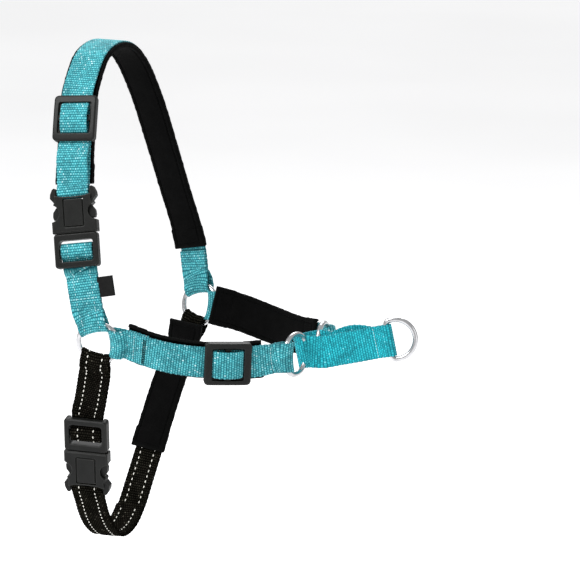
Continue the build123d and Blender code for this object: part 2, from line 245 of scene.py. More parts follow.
class Ring:
    """A round ring's place, read from its joint: forward and up lie in its plane, axis is square to it."""

    def __init__(self, name):
        joint = JOINTS[name + "_spin"]
        self.centre = np.array(joint["pos_m"]) / MM
        self.axis = unit(joint["axis"])
        self.forward = unit(np.cross([0, 0, 1], self.axis))
        self.up = np.cross(self.axis, self.forward)

    def at(self, angle):
        """The direction from the ring's centre at an angle from forward, in degrees."""
        return self.forward * math.cos(math.radians(angle)) + self.up * math.sin(math.radians(angle))


class Buckle:
    """A buckle's frame, read from its joints: z along the strap to the socket, y away from the body."""

    def __init__(self, place, plus_side, minus_side):
        self.z = unit(JOINTS[place + "_buckle_release"]["axis"])
        plus, minus = (np.array(JOINTS[f"{place}_latch_{side}_squeeze"]["pos_m"]) / MM
                       for side in (plus_side, minus_side))
        self.x = unit(plus - minus)
        self.y = np.cross(self.z, self.x)
        self.origin = (plus + minus) / 2 - self.z * ARM_PIVOT_HEIGHT
        self.place = np.array([self.x, self.y, self.z, self.origin])


GIRTH_RIGHT, GIRTH_LEFT = Ring("girth_ring_right"), Ring("girth_ring_left")
CHEST_RIGHT, CHEST_LEFT = Ring("chest_ring_right"), Ring("chest_ring_left")
SHOULDER_BUCKLE = Buckle("shoulder", "rear", "front")
BELLY_BUCKLE = Buckle("belly", "front", "rear")


# --- strap paths: rows of place and width direction ---

def layer(route, width_direction, lift=0.0, start=0, end=None):
    """Rows from one route point to another, lifted away from the body. Lift may be (point, lift) pairs."""
    line = spline([(*point, i) for i, point in enumerate(route)], 3.0)
    place, index = line[:, :3], line[:, 3]
    tangent = unit(np.gradient(place, axis=0))
    width = square(width_direction(place), tangent)
    out = np.cross(tangent, width)
    out *= np.sign(np.sum(out * place, axis=1, keepdims=True))
    if not np.isscalar(lift):
        lift = np.interp(index, *zip(*lift))[:, None]
    kept = (index >= start - 0.01) & (index <= (len(route) if end is None else end) + 0.01)
    return np.hstack([place + out * lift, width])[kept]


class Path:
    """A strap's whole path. The third of its parts is the outer layer, the fourth the far fold."""

    def __init__(self, bends, *parts):
        self.bends = bends
        self.rows = np.vstack(parts)
        length = distances(self.rows[:, :3])
        starts = length[np.cumsum([len(part) for part in parts[:3]])]
        self.outer, self.far_fold = starts[1:]
        self.length = length[-1]


def wrap(centre, leave, out, width, radius, front, back, slack=1.0):
    """Rows from a front layer round a bar to the back layer. Front and back list (reach, lift)."""
    rows = [centre + leave * reach + out * lift for reach, lift in front]
    for turn in np.radians(np.linspace(90, 270, 9)):
        rows.append(centre + leave * (radius * slack * math.cos(turn)) + out * (radius * math.sin(turn)))
    rows += [centre + leave * reach + out * lift for reach, lift in back]
    return np.hstack([np.array(rows), np.tile(width, (len(rows), 1))])


def ring_wrap(ring, angle, width, swing=0.0):
    """Rows round a ring's wire, from the front layer to the back one."""
    radial = ring.at(angle)
    centre = ring.centre + radial * RING_RADIUS
    turn = math.radians(swing)
    leave = radial * math.cos(turn) + ring.axis * math.sin(turn)
    side = unit(np.cross(ring.axis, radial))
    side *= np.sign(np.dot(side, width))
    out = np.cross(leave, side)
    out *= np.sign(np.dot(out, ring.centre * (1, 1, 0)))
    return wrap(centre, leave, out, side, RING_WRAP, [(4.5, 3.3)], [(4.5, -3.5)], RING_SLACK)


def bar_wrap(buckle, bar, leave, front, back, slack=1.0):
    """Rows round a buckle's bar, from the front layer to the back one."""
    centre = buckle.origin + buckle.z * bar
    side = buckle.x * np.sign(np.dot(buckle.x, FORWARD))
    return wrap(centre, buckle.z * leave, buckle.y, side, BAR_WRAP, front, back, slack)


def plug_wrap(buckle):
    """Rows round a plug's web bar."""
    front = [(14, -2.1), (10.5, -2.05), (8, -1.6), (5.5, 0.4), (2.5, 2.9)]
    return bar_wrap(buckle, PLUG_BAR, -1, front, [(5, -4.0), (10, -4.05)], PLUG_SLACK)


def socket_wrap(buckle):
    """Rows round a socket's web bar."""
    return bar_wrap(buckle, SOCKET_BAR, 1, [(6.5, 1.2), (3, 3.0)], [(4, -3.1)])


def narrow_at_ring(grid, ring, angle, narrowing=FOLD_NARROWING, pleat=0.0):
    """Bunches a strap into pleats near a ring's wire, and bends it round with the ring."""
    radial = ring.at(angle)
    side = np.cross(ring.axis, radial)
    place = grid - ring.centre
    # only the parts close to this side of the wire are bunched, and the share fades with distance
    far, across, off = place @ radial, place @ side, place @ ring.axis
    near = smoothstep(far, RING_RADIUS + 15, RING_RADIUS + 3) * smoothstep(np.abs(off), 17, 6)
    near *= smoothstep(np.abs(across), 20, 16)
    narrow = across * (1 - near * (1 - narrowing))
    sag = RING_RADIUS - np.sqrt(np.maximum(RING_RADIUS**2 - narrow**2, 0))
    rise = pleat * near * np.cos(np.pi * across / PLEAT_PITCH) - near * sag * FOLD_SAG
    return grid + side * (narrow - across)[..., None] + radial * rise[..., None]


# --- meshes ---

def add_object(name, data):
    """An object for some data, in the scene."""
    obj = bpy.data.objects.new(name, data)
    bpy.context.scene.collection.objects.link(obj)
    return obj


def mesh_object(name, points, faces, smooth=True):
    """A mesh object from points in millimetres."""
    mesh = bpy.data.meshes.new(name)
    mesh.from_pydata((np.asarray(points) * MM).tolist(), [], [tuple(map(int, face)) for face in faces])
    mesh.validate()
    if smooth:
        mesh.shade_smooth()
    return add_object(name, mesh)


def face_outward(obj):
    """Turns every face of a closed mesh outward."""
    work = bmesh.new()
    work.from_mesh(obj.data)
    bmesh.ops.recalc_face_normals(work, faces=work.faces)
    work.to_mesh(obj.data)
    work.free()


def slab_faces(rows, columns, closed):
    """Faces of a slab: the top grid's points come first, then the bottom grid's."""
    index = np.arange(rows * columns).reshape(rows, columns)
    if closed:
        index = np.vstack([index, index[:1]])
    below = rows * columns
    corners = index[:-1, :-1], index[:-1, 1:], index[1:, 1:], index[1:, :-1]
    quads = np.stack([corner.ravel() for corner in corners], axis=1)
    rims = [index[:, 0], index[:, -1]] + ([] if closed else [index[0], index[-1]])
    walls = [np.stack([rim[:-1], rim[1:], rim[1:] + below, rim[:-1] + below], axis=1) for rim in rims]
    return np.vstack([quads, quads[:, [0, 3, 2, 1]] + below, *walls])


def slab(name, middle, normals, top, bottom, along, across, closed=False):
    """A closed soft piece between two surfaces, top and bottom off a middle one, with a strap map in mm."""
    rows, columns = along.shape
    points = np.vstack([(middle + normals * top[..., None]).reshape(-1, 3),
                        (middle - normals * bottom[..., None]).reshape(-1, 3)])
    obj = mesh_object(name, points, slab_faces(rows, columns, closed))
    face_outward(obj)
    place = np.stack([along.ravel(), across.ravel()], axis=1)
    place = np.vstack([place, place]).astype(np.float32)
    loops = np.zeros(len(obj.data.loops), np.int32)
    obj.data.loops.foreach_get("vertex_index", loops)
    layer_map = obj.data.uv_layers.new(name="strap")
    layer_map.data.foreach_set("uv", place[loops].ravel())
    return obj


def grid_normals(grid, closed):
    """Unit normals of a grid of points."""
    if closed:
        down = (np.roll(grid, -1, axis=0) - np.roll(grid, 1, axis=0)) / 2
    else:
        down = np.gradient(grid, axis=0)
    return unit(np.cross(down, np.gradient(grid, axis=1)))


def columns_across(width, step, edge):
    """Places across a strap, closer together near its edges."""
    half = width / 2
    inside = np.linspace(-(half - edge), half - edge, round((width - 2 * edge) / step) + 1)
    rim = half - edge * (1 - np.sin(np.radians([30, 55, 75, 90])))
    return np.concatenate([-rim[::-1], inside, rim])


def along_path(rows, step, closed=False):
    """Places, width directions and distances, evenly spaced along a strap's path."""
    path = spline(rows, step)
    if closed:
        path = path[:-1]
    points = path[:, :3]
    width = square(path[:, 3:], unit(np.gradient(points, axis=0)))
    return points, width, distances(points)


def strap_grid(rows, step, columns, bends=(), closed=False):
    """A strap's middle surface, with its ends bunched by the rings they go round."""
    points, width, length = along_path(rows, step, closed)
    grid = points[:, None] + width[:, None] * columns[None, :, None]
    for bend in bends:
        grid = narrow_at_ring(grid, *bend)
    along, across = np.meshgrid(length, columns, indexing="ij")
    return grid, along, across


def webbing(name, rows, bends=(), closed=False, width=WEB_WIDTH):
    """Woven webbing: rounded selvedges, and yarns that go over and under in the mesh itself."""
    columns = columns_across(width, ROW, SELVEDGE)
    grid, along, across = strap_grid(rows, ROW, columns, bends, closed)
    edge = np.maximum(np.abs(across) - (width / 2 - SELVEDGE), 0) / SELVEDGE
    half = WEB / 2 * np.sqrt(np.maximum(1 - edge**2, 0.03))
    shift = np.floor(along / YARN + 0.5) % 2 / 2
    weave = 2 * (np.cos(np.pi * along / YARN) * np.cos(np.pi * (across / YARN + shift)))**2 - 0.6
    fade = RELIEF * (1 - edge**2)
    inward = width / 2 - np.abs(across)
    scallop = SCALLOP * np.sign(across) * np.cos(np.pi * along / YARN) * smoothstep(inward, 1.1, 0)
    sideways = unit(np.gradient(grid, axis=1))
    grid = grid + sideways * scallop[..., None]
    normals = grid_normals(grid, closed)
    height = half + fade * weave
    return slab(name, grid, normals, height, height, along, across, closed)


# --- pads ---

def pad_columns():
    """Places across a pad, closer together at the sewn channels and edges."""
    half = PAD_WIDTH / 2
    seam = half - PAD_BORDER
    middle = np.linspace(-(seam - 1.5), seam - 1.5, 20)
    side = np.concatenate([seam + np.linspace(-1.2, 1.2, 9), np.linspace(seam + 1.5, half - PAD_EDGE, 4),
                           half - PAD_EDGE * (1 - np.sin(np.radians([35, 60, 78, 90])))])
    return np.concatenate([-side[::-1], middle, side])


def puckers(along, seed):
    """An uneven wave along a pad's edge, mostly between -1 and 1."""
    draw = np.random.default_rng(seed)
    wave = np.zeros_like(along)
    for period in (5.1, 6.7, 9.3, 14.0):
        wave += np.sin(2 * np.pi * along / period + draw.uniform(0, 6.3))
    return wave / 3


def rounded_edge(distance, size):
    """The share of full thickness near an edge, falling along a quarter circle."""
    return np.sqrt(np.maximum(1 - np.clip(1 - distance / size, 0, 1)**2, 0.05))


def pad_inside(along, side, end, hem):
    """The pad's thickness towards the body: crowned, thicker at its hems and drawn in along its seams."""
    seam = np.exp(-((side - PAD_BORDER) / 0.55) ** 2) * smoothstep(end, PAD_BORDER - 1, PAD_BORDER + 1)
    seam = np.maximum(seam, np.exp(-((end - PAD_BORDER) / 0.8) ** 2) * smoothstep(side, 2.0, 3.6))
    hem_seam = np.exp(-((end - HEM) / 0.9) ** 2)
    stitch = 0.5 + 0.5 * np.cos(2 * np.pi * along / PAD_STITCH)
    crown = PAD_CROWN * smoothstep(side, PAD_BORDER, 12)
    sunk = seam * (SEAM_DEPTH + STITCH_DEPTH * stitch) + HEM_SEAM_DEPTH * hem_seam
    return PAD / 2 + crown + HEM_RISE * hem - sunk


def pad(name, rows, seed):
    """A neoprene pad: a panel inside a sewn channel, a rolled rim beside the webbing, and hemmed ends."""
    columns = pad_columns()
    grid, along, across = strap_grid(rows, PAD_ROW, columns)
    end = np.minimum(along, along[-1, 0] - along)
    side = PAD_WIDTH / 2 - np.abs(across)
    hem = smoothstep(end, HEM + 0.8, HEM - 0.8)
    wave = np.where(across > 0, puckers(along, seed), puckers(along, seed + 1))
    rim = smoothstep(side, PAD_BORDER, 0.4)
    sideways = unit(np.gradient(grid, axis=1)) * np.sign(across)[..., None]
    grid = grid + sideways * (rim * (RIM_WAVE * wave + HEM_SPREAD * hem))[..., None]
    inside = pad_inside(along, side, end, hem) + 0.15 * rim * wave
    beside = smoothstep(np.abs(across) - WEB_WIDTH / 2, 0.2, 1.1)
    outside = PAD / 2 - 0.1 + (RIM_RISE + 0.1 * wave) * beside
    normals = grid_normals(grid, False)
    middle = len(grid) // 2, len(columns) // 2
    top, bottom = (outside, inside) if np.dot(normals[middle], grid[middle]) > 0 else (inside, outside)
    share = rounded_edge(side, PAD_EDGE) * rounded_edge(end, PAD_TIP)
    return slab(name, grid, normals, top * share, bottom * share, along, across)


# --- stitches ---

def capsule_points(centre, along, across, up, size):
    """The points of one stitch: a low rounded bar, as rings of points along it."""
    length, width, height = size
    points = []
    for t, share in zip(np.linspace(-0.5, 0.5, STITCH_RINGS), (0.35, 0.9, 1.0, 0.9, 0.35)):
        middle = centre + along * (length * t)
        for turn in np.linspace(0, 2 * np.pi, STITCH_SIDES, endpoint=False):
            sideways = across * (width / 2 * share * math.cos(turn))
            points.append(middle + sideways + up * (height * share * math.sin(turn)))
    return points


def stitches(name, places, size):
    """Many stitches as one piece. Each place is (centre, along, up)."""
    points, faces = [], []
    for centre, along, up in places:
        start = len(points)
        points += capsule_points(centre, along, np.cross(up, along), up, size)
        for i, j in product(range(STITCH_RINGS - 1), range(STITCH_SIDES)):
            a = start + i * STITCH_SIDES + j
            b = start + i * STITCH_SIDES + (j + 1) % STITCH_SIDES
            faces.append((a, b, b + STITCH_SIDES, a + STITCH_SIDES))
        faces.append(range(start + STITCH_SIDES - 1, start - 1, -1))
        faces.append(range(len(points) - STITCH_SIDES, len(points)))
    obj = mesh_object(name, points, faces)
    face_outward(obj)
    return obj


def surface_places(rows, along, across, lift, bends=(), crosswise=False):
    """Places on a strap's surface at given distances along and across, lifted off its middle."""
    points, width, length = along_path(rows, 0.5)
    columns = np.array([-0.2, 0.2])
    places = []
    for u, v in zip(along, across):
        i = int(np.clip(np.searchsorted(length, u), 1, len(points) - 2))
        patch = points[i - 1:i + 2, None] + width[i - 1:i + 2, None] * (v + columns)[None, :, None]
        for bend in bends:
            patch = narrow_at_ring(patch, *bend)
        down, side = unit(patch[2].mean(0) - patch[0].mean(0)), unit(patch[1, 1] - patch[1, 0])
        up = unit(np.cross(down, side)) * np.sign(lift)
        places.append((patch[1].mean(0) + up * abs(lift), side if crosswise else down, up))
    return places


# --- materials ---

def linear(red, green, blue):
    """A colour given as 0 to 255 display values, as Blender's linear colour."""
    return tuple((c / 255 / 12.92 if c <= 10 else ((c / 255 + 0.055) / 1.055) ** 2.4)
                 for c in (red, green, blue)) + (1.0,)


class Nodes:
    """Short forms for building one material's node tree."""

    def __init__(self, name):
        self.material = bpy.data.materials.new(name)
        self.material.use_nodes = True
        self.tree = self.material.node_tree
        self.shader = self.tree.nodes["Principled BSDF"]

    def add(self, kind, inputs=(), **settings):
        node = self.tree.nodes.new("ShaderNode" + kind)
        for key, value in settings.items():
            setattr(node, key, value)
        for key, value in dict(inputs).items():
            self.set(node, key, value)
        return node

    def set(self, node, key, value):
        if isinstance(value, bpy.types.NodeSocket):
            self.tree.links.new(value, node.inputs[key])
        else:
            node.inputs[key].default_value = value

    def strap(self):
        """Millimetres along and across a strap."""
        return self.add("UVMap", uv_map="strap").outputs[0]

    def place(self):
        """Metres in the shared frame."""
        return self.add("TexCoord").outputs["Object"]

    def math(self, operation, *values):
        return self.add("Math", dict(enumerate(values)), operation=operation).outputs[0]

    def vector(self, operation, inputs):
        return self.add("VectorMath", inputs, operation=operation).outputs[0]

    def stretched(self, vector, scale):
        return self.add("Mapping", {"Vector": vector, "Scale": scale}).outputs[0]

    def times(self, first, second):
        return self.math("MULTIPLY", first, second)

    def plus(self, first, second):
        return self.math("ADD", first, second)

    def ramp(self, value, low, high, start=0.0, end=1.0):
        node = self.add("MapRange", {"Value": value, "From Min": low, "From Max": high,
                                     "To Min": start, "To Max": end})
        return node.outputs[0]

    def mix(self, factor, first, second):
        """Blends two colours, each a socket or display values from 0 to 255."""
        node = self.add("Mix", data_type="RGBA")
        for key, value in ((0, factor), (6, first), (7, second)):
            self.set(node, key, linear(*value) if isinstance(value, tuple) else value)
        return node.outputs[2]

    def noise(self, vector, scale, detail=2.0, roughness=0.5):
        inputs = {"Vector": vector, "Scale": scale, "Detail": detail, "Roughness": roughness}
        return self.add("TexNoise", inputs).outputs[0]

    def finish(self, colour, roughness, height=None, strength=1.0, distance=0.0003):
        self.set(self.shader, "Base Color", colour)
        self.set(self.shader, "Roughness", roughness)
        if height is not None:
            bump = self.add("Bump", {"Height": height, "Strength": strength, "Distance": distance})
            self.set(self.shader, "Normal", bump.outputs[0])
        return self.material


def yarns(n, plain):
    """Staggered yarns on a strap: places across it, crowns, gaps between them as a mask for painted shade,
    and a chance for each.
    """
    wander = n.add("TexNoise", {"Vector": plain, "Scale": 0.35, "Detail": 2.0}).outputs["Color"]
    nudge = n.vector("SUBTRACT", {0: wander, 1: (0.5, 0.5, 0.5)})
    nudge = n.vector("SCALE", {0: nudge, "Scale": 0.9})
    split = n.add("SeparateXYZ", {"Vector": n.vector("ADD", {0: plain, 1: nudge})})
    along, across = split.outputs[0], split.outputs[1]
    row = n.math("FLOOR", n.plus(n.math("DIVIDE", along, YARN), 0.5))
    shift = n.times(n.math("FLOORED_MODULO", row, 2.0), 0.5)
    shifted = n.plus(n.math("DIVIDE", across, YARN), shift)
    column = n.math("FLOOR", n.plus(shifted, 0.5))
    row_crown = n.math("ABSOLUTE", n.math("COSINE", n.times(along, math.pi / YARN)))
    column_crown = n.math("ABSOLUTE", n.math("COSINE", n.times(shifted, math.pi)))
    cell = n.add("CombineXYZ", {"X": row, "Y": column}).outputs[0]
    chance = n.add("TexWhiteNoise", {"Vector": cell}, noise_dimensions="3D").outputs["Value"]
    # masks of the gaps between yarns, where shade is painted into the colour
    row_gap_shade, column_gap_shade = n.ramp(row_crown, 0.08, 0.6, 1.0, 0.0), n.ramp(column_crown, 0.05, 0.4, 0.3, 0.0)
    return across, n.times(row_crown, column_crown), n.math("MAXIMUM", row_gap_shade, column_gap_shade), chance


def webbing_material(name, dark, middle, light, fleck, fleck_share, sheen, rough, gloss):
    """Woven webbing in the strap map's millimetres: yarn crowns with painted highlights, painted shade in the
    gaps between yarns and along both edges, fibres, pale flecks, worn tone.
    """
    n = Nodes(name)
    plain = n.strap()
    across, crown, gap, chance = yarns(n, plain)
    fibres = n.noise(n.stretched(plain, (0.9, 5.0, 1.0)), 1.6, 3.0, 0.6)
    weft = n.noise(n.stretched(plain, (4.0, 0.8, 1.0)), 1.7, 3.0, 0.6)
    # painted highlight: each yarn's crown is mixed towards the light colour
    colour = n.mix(n.ramp(crown, 0.3, 0.9, 0.1, 0.75), middle, light)
    colour = n.mix(n.ramp(chance, 0.0, 0.6, 0.45, 0.0), colour, dark)
    colour = n.mix(n.ramp(fibres, 0.38, 0.62, 0.45, 0.0), colour, dark)
    colour = n.mix(n.ramp(weft, 0.55, 0.75, 0.0, 0.35), colour, light)
    # painted shade: the gaps between yarns are darkened towards the dark colour
    colour = n.mix(n.times(gap, 0.8), colour, dark)
    chosen = n.ramp(chance, 1 - fleck_share * 1.6, 1.0, 0.0, 0.75)
    glint = n.times(chosen, n.ramp(n.noise(n.place(), 60.0), 0.35, 0.6, 0.2, 1.0))
    colour = n.mix(n.times(glint, n.ramp(crown, 0.4, 0.9)), colour, fleck)
    colour = n.mix(n.ramp(n.noise(plain, 0.06), 0.35, 0.7, 0.0, 0.3), colour, dark)
    # painted shade: the webbing is darkened over the last 1.2 mm towards each edge
    edge = n.ramp(n.math("ABSOLUTE", across), WEB_WIDTH / 2 - 1.2, WEB_WIDTH / 2, 0.0, 0.35)
    colour = n.mix(edge, colour, dark)
    height = n.plus(n.times(crown, 0.7), n.times(fibres, 0.5))
    n.set(n.shader, "Sheen Weight", sheen)
    n.set(n.shader, "Sheen Roughness", 0.4)
    n.set(n.shader, "Specular IOR Level", gloss)
    return n.finish(colour, n.ramp(fibres, 0.3, 0.7, rough - 0.1, rough + 0.12), height, 0.75, 0.00035)


def neoprene_material():
    """Charcoal knit over foam: fine loops, a dusty tone, lighter rubbed edges."""
    n = Nodes("neoprene_knit")
    strap = n.strap()
    split = n.add("SeparateXYZ", {"Vector": strap})
    along, across = split.outputs[0], split.outputs[1]
    wales = n.math("SINE", n.times(across, 2 * math.pi / 0.9))
    courses = n.math("SINE", n.plus(n.times(along, 2 * math.pi / 1.1), wales))
    loops = n.times(n.plus(courses, n.times(wales, 0.6)), 0.5)
    fuzz = n.noise(strap, 2.4, 4.0, 0.65)
    tone = n.noise(strap, 0.09, 3.0)
    colour = n.mix(n.ramp(loops, -0.8, 0.8), (1, 1, 1), (9, 9, 9))
    colour = n.mix(n.ramp(tone, 0.35, 0.75, 0.0, 0.4), colour, (13, 13, 13))
    pointed = n.add("NewGeometry").outputs["Pointiness"]
    colour = n.mix(n.ramp(pointed, 0.52, 0.62, 0.0, 0.25), colour, (32, 32, 31))
    height = n.plus(n.times(loops, 0.35), n.times(fuzz, 0.8))
    n.set(n.shader, "Sheen Weight", 0.005)
    n.set(n.shader, "Sheen Roughness", 0.55)
    n.set(n.shader, "Specular IOR Level", 0.03)
    return n.finish(colour, n.ramp(fuzz, 0.3, 0.7, 0.78, 0.95), height, 0.5, 0.0002)


def plastic_material(name, dark, light):
    """Moulded acetal: fine spark-eroded grain, faint flow clouds, edges rubbed pale and glossy."""
    n = Nodes(name)
    place = n.place()
    grain = n.noise(place, 2600.0, 3.0, 0.6)
    flow = n.noise(place, 70.0)
    scratches = n.noise(n.stretched(place, (1.0, 1.0, 9.0)), 420.0)
    pointed = n.add("NewGeometry").outputs["Pointiness"]
    worn = n.ramp(pointed, 0.51, 0.58)
    colour = n.mix(n.ramp(flow, 0.35, 0.7), dark, light)
    colour = n.mix(n.ramp(grain, 0.45, 0.7, 0.0, 0.18), colour, (60, 60, 58))
    colour = n.mix(n.times(worn, 0.22), colour, (108, 108, 104))
    rough = n.math("SUBTRACT", n.ramp(grain, 0.3, 0.7, 0.40, 0.52), n.times(worn, 0.08))
    rough = n.plus(rough, n.ramp(scratches, 0.62, 0.72, 0.0, 0.12))
    height = n.plus(n.times(grain, 0.6), n.times(scratches, 0.15))
    n.set(n.shader, "Specular IOR Level", 0.16)
    n.set(n.shader, "Coat Weight", 0.02)
    return n.finish(colour, rough, height, 0.35, 0.00008)


def nickel_material():
    """Bright nickel-plated wire: fine draw marks, a little haze and dullness in patches."""
    n = Nodes("nickel_wire")
    place = n.place()
    haze = n.noise(place, 120.0, 3.0)
    marks = n.noise(place, 1500.0)
    colour = n.mix(n.ramp(haze, 0.35, 0.7), (202, 202, 204), (170, 170, 172))
    rough = n.plus(n.ramp(haze, 0.3, 0.7, 0.16, 0.30), n.ramp(marks, 0.55, 0.75, 0.0, 0.08))
    n.set(n.shader, "Metallic", 1.0)
    return n.finish(colour, rough, marks, 0.08, 0.00004)


def thread_material(name, colour, shine):
    """Twisted sewing thread."""
    n = Nodes(name)
    place = n.place()
    twist = n.noise(place, 2200.0)
    mixed = n.mix(n.ramp(twist, 0.4, 0.7, 0.0, 0.5), colour, tuple(c * 0.6 for c in colour))
    n.set(n.shader, "Sheen Weight", shine)
    n.set(n.shader, "Specular IOR Level", shine)
    return n.finish(mixed, n.ramp(twist, 0.3, 0.7, 0.45, 0.7), twist, 0.5, 0.0001)


def satin_material():
    """A folded black satin label: fine ribs and a soft shine."""
    n = Nodes("label_satin")
    place = n.place()
    ribs = n.add("TexWave", {"Vector": place, "Scale": 900.0, "Distortion": 0.6, "Detail": 1.0}).outputs[1]
    cloud = n.noise(place, 300.0, 3.0)
    colour = n.mix(n.ramp(ribs, 0.2, 0.8), (7, 7, 7), (20, 20, 20))
    colour = n.mix(n.ramp(cloud, 0.5, 0.8, 0.0, 0.4), colour, (32, 31, 30))
    n.set(n.shader, "Specular IOR Level", 0.12)
    n.set(n.shader, "Sheen Weight", 0.02)
    return n.finish(colour, n.ramp(cloud, 0.3, 0.7, 0.42, 0.62), ribs, 0.3, 0.00008)


# each webbing's third colour is also its painted highlight on the yarn crowns, and its first colour also its
# painted shade in the gaps and along the edges
TEAL = webbing_material("teal_webbing", (0, 46, 58), (14, 158, 172), (136, 234, 239),
                        (232, 248, 248), fleck_share=0.12, sheen=0.1, rough=0.62, gloss=0.12)
PLAIN_TEAL = webbing_material("plain_teal_webbing", (0, 66, 80), (0, 172, 188),
                              (72, 228, 240), (170, 236, 242),
                              fleck_share=0.05, sheen=0.05, rough=0.5, gloss=0.12)
BLACK = webbing_material("black_webbing", (0, 0, 0), (2, 2, 2), (50, 48, 41),
                         (104, 100, 88), fleck_share=0.06, sheen=0.0, rough=0.8, gloss=0.0)
NEOPRENE = neoprene_material()
PLASTIC = plastic_material("black_acetal", (8, 9, 8), (17, 18, 17))
NICKEL = nickel_material()
REFLECTIVE = thread_material("reflective_thread", (236, 234, 224), 0.4)
BLACK_THREAD = thread_material("black_thread", (4, 4, 4), 0.02)
PALE_THREAD = thread_material("pale_thread", (176, 220, 224), 0.3)
SATIN = satin_material()


# --- straps ---

def folded(route, width_direction, bends, near_fold, far_fold, back, lift=0.0):
    """A strap with a short tail, a fold, its outer layer, the far fold, and a back layer of its own."""
    tail = layer(route, width_direction, -LAYER, 0, 1)[::-1]
    outer = layer(route, width_direction, lift)
    return Path(bends, tail, near_fold, outer, far_fold, layer(route, width_direction, *back)[::-1])


def body_strap(route, bend, far_fold, back, lift=0.0):
    """A strap round the body that starts at a girth ring."""
    fold = ring_wrap(*bend[:2], FORWARD)[::-1]
    return folded(route, along_body, [bend], fold, far_fold, back, lift)


def chest_strap(route, girth, chest, turn, back_to):
    """Girth ring, along the chest, round the chest ring and back to a route point."""
    fold = ring_wrap(girth, 0, UP, turn * GIRTH_TO_CHEST_SWING)[::-1]
    front_fold = ring_wrap(chest, 180, UP, -turn * CHEST_RING_SWING)
    return folded(route, up_chest, [(girth, 0), (chest, 180)], fold, front_fold, (-LAYER, back_to))


def ring_turn(ring, side, forward, width):
    """Rows of the martingale through a chest ring, from behind the wire to in front of it."""
    wire = ring.centre + ring.at(0) * RING_RADIUS
    sideways = np.array([0, -side, 0])
    rows = []
    for turn in np.radians([180, 205, 230, 255, 280]):
        rows.append(wire + (forward * LOOP_SLACK * math.cos(turn) + sideways * math.sin(turn)) * RING_WRAP)
    return np.hstack([np.array(rows), np.tile(width, (len(rows), 1))])


def martingale_path():
    """A closed loop: behind both chest rings, through them, and forward to the fold at the leash ring."""
    pitch = math.radians(MARTINGALE_PITCH)
    back = np.array([-math.cos(pitch), 0, -math.sin(pitch)])
    width = up_martingale([0])[0]
    bar = np.array(JOINTS["leash_ring_swing"]["pos_m"]) / MM
    right, left = ring_turn(CHEST_RIGHT, -1, -back, width), ring_turn(CHEST_LEFT, 1, -back, width)
    middle = (right[:1] + left[:1]) / 2
    outward = np.array([0, -1.0, 0])
    fold = wrap(bar, back, outward, width, LEASH_WRAP, [(9, 1.1), (4, 2.5)], [(4, -2.5), (9, -1.1)])
    near = layer(MARTINGALE_ROUTE, up_martingale, 0, 0.6, 2.6)
    far = layer(mirrored(MARTINGALE_ROUTE), up_martingale, 0, 0.6, 2.6)[::-1]
    far[:, 2] += FAR_LAYER_RISE * np.sin(np.linspace(0, np.pi, len(far)))
    return Path([], middle, right, near, fold, far, left[::-1], middle)


# each strap's back layer is given by its lift and the route point it goes back to
SHOULDER = body_strap(SHOULDER_ROUTE, (GIRTH_LEFT, SHOULDER_FOLD_ANGLE),
                      socket_wrap(SHOULDER_BUCKLE), (-LAYER - UNDER_SLIDER, 12), SHOULDER_LIFT)
LOWER_SHOULDER = body_strap(LOWER_SHOULDER_ROUTE, (GIRTH_RIGHT, SHOULDER_FOLD_ANGLE),
                            plug_wrap(SHOULDER_BUCKLE), (-LAYER, 1.2))
BELLY_SHORT = body_strap(BELLY_SHORT_ROUTE, (GIRTH_RIGHT, BELLY_FOLD_ANGLE),
                         plug_wrap(BELLY_BUCKLE), (-LAYER, 1.2))
BELLY = body_strap(BELLY_ROUTE[::-1], (GIRTH_LEFT, BELLY_FOLD_ANGLE, FAR_BELLY_NARROWING, FAR_BELLY_PLEAT),
                   socket_wrap(BELLY_BUCKLE), (-LAYER, len(BELLY_ROUTE) - 6))
CHEST_NEAR = chest_strap(CHEST_ROUTE, GIRTH_RIGHT, CHEST_RIGHT, 1, 4)
CHEST_FAR = chest_strap(mirrored(CHEST_ROUTE), GIRTH_LEFT, CHEST_LEFT, -1, 5)
MARTINGALE = martingale_path()

CROWN_LEFT, CROWN_RIGHT = (-0.036, 0.045, 0.2035), (-0.036, -0.045, 0.2035)
KEEL_LEFT, KEEL_RIGHT = (-0.033, 0.033, -0.1565), (-0.0288, -0.044, -0.149)
OVER_CROWN = {"blend": ("shoulder_loop", "shoulder_right", CROWN_LEFT, CROWN_RIGHT)}
UNDER_KEEL = {"blend": ("belly_loop", "belly_right", KEEL_LEFT, KEEL_RIGHT)}
ON_SHOULDER, ON_BELLY, ON_CHEST = {"body": "shoulder_loop"}, {"body": "belly_loop"}, {"body": "chest_straps"}


def place_piece(obj, material, slot, body=None, blend=None, nodes=()):
    """Gives a piece its material; attaches it to its body, or for a blend bakes its place into its mesh;
    hides the nodes it stands for. The slot is not used.
    """
    obj.data.materials.append(material)
    if blend:
        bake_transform(obj)
    else:
        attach(obj, body)
    if nodes:
        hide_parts(*nodes)
    return obj


